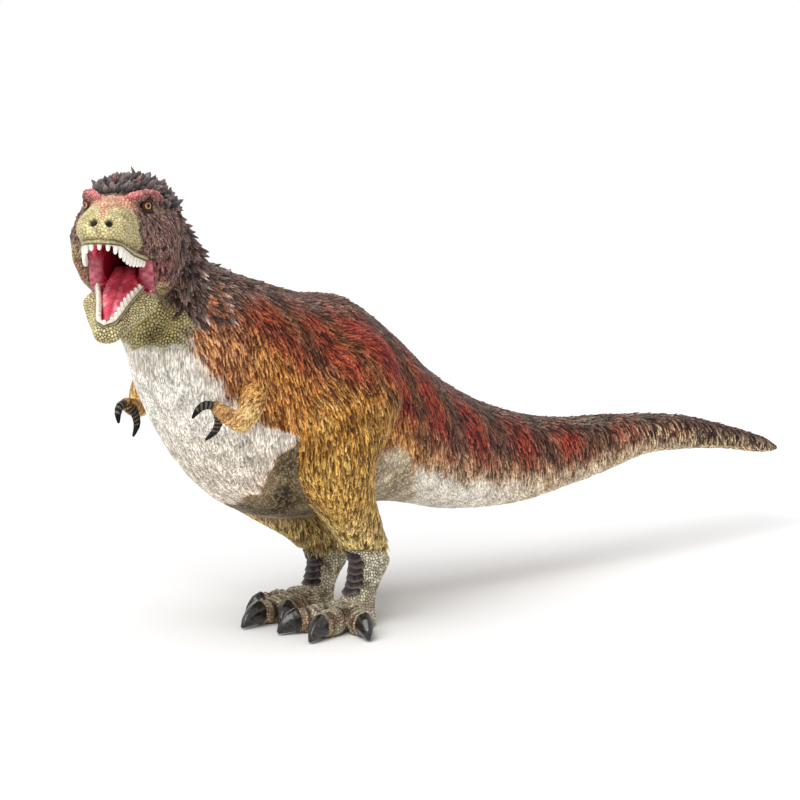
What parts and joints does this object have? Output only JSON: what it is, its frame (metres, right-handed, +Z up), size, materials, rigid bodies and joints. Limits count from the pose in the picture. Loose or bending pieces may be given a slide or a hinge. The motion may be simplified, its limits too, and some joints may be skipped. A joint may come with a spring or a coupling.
{
  "type": "toy dinosaur figure",
  "caption": "Feathered bipedal dinosaur figure in painted vinyl, standing with its head turned and its mouth open; the lower jaw hinges and the arms swivel.",
  "frame": {"origin": "under the middle of the figure's bounding box, on the surface that it stands on", "axes": "+Z up, the figure faces -Y with its tail toward +Y, and its own left side is +X"},
  "size_m": [0.0688, 0.3524, 0.1507],
  "materials": {
    "trunk_plumage": "painted and drybrushed feather relief, dark back, ochre flanks with rust stripes, cream belly",
    "tail_plumage": "painted and drybrushed feather relief, rust and dark brown bands, cream underside",
    "leg_plumage": "painted and drybrushed feather relief, golden ochre",
    "head_skin": "dark brown feathers, pale green scaled snout, red brows",
    "jaw_skin": "pale green fine scales",
    "foot_skin": "grey-brown scales with black claws",
    "arm_skin": "tan with dark fingers",
    "teeth": "ivory",
    "tongue": "glossy crimson",
    "eye": "glossy orange-brown with a black pupil",
    "inner_plastic": "plain moulded plastic",
    "pin_steel": "plain steel pin"
  },
  "bodies": {
    "figure": {"torso_left_shell": "trunk_plumage", "torso_right_shell": "trunk_plumage", "neck_plug": "inner_plastic", "tail_plug": "inner_plastic", "tail": "tail_plumage", "head": "head_skin", "left_jaw_pin": "pin_steel", "right_jaw_pin": "pin_steel", "upper_teeth": "teeth", "left_eye": "eye", "right_eye": "eye", "left_leg": "leg_plumage", "right_leg": "leg_plumage", "left_ankle_pin": "pin_steel", "right_ankle_pin": "pin_steel", "left_foot": "foot_skin", "right_foot": "foot_skin"},
    "jaw": {"lower_jaw": "jaw_skin", "lower_teeth": "teeth", "tongue": "tongue"},
    "left_forelimb": {"left_arm": "arm_skin", "left_shoulder_peg": "inner_plastic"},
    "right_forelimb": {"right_arm": "arm_skin", "right_shoulder_peg": "inner_plastic"}
  },
  "joints": [
    {"name": "jaw_hinge", "type": "hinge", "parent": "figure", "child": "jaw", "pos_m": [0.00401, -0.14092, 0.1251], "axis": [0.7771, 0.6293, 0], "range_deg": [-26, 4]},
    {"name": "left_shoulder_swivel", "type": "hinge", "parent": "figure", "child": "left_forelimb", "pos_m": [0.01911, -0.10892, 0.084], "axis": [1, 0, 0], "range_deg": [-20, 20]},
    {"name": "right_shoulder_swivel", "type": "hinge", "parent": "figure", "child": "right_forelimb", "pos_m": [-0.01989, -0.10892, 0.084], "axis": [1, 0, 0], "range_deg": [-20, 20]}
  ]
}
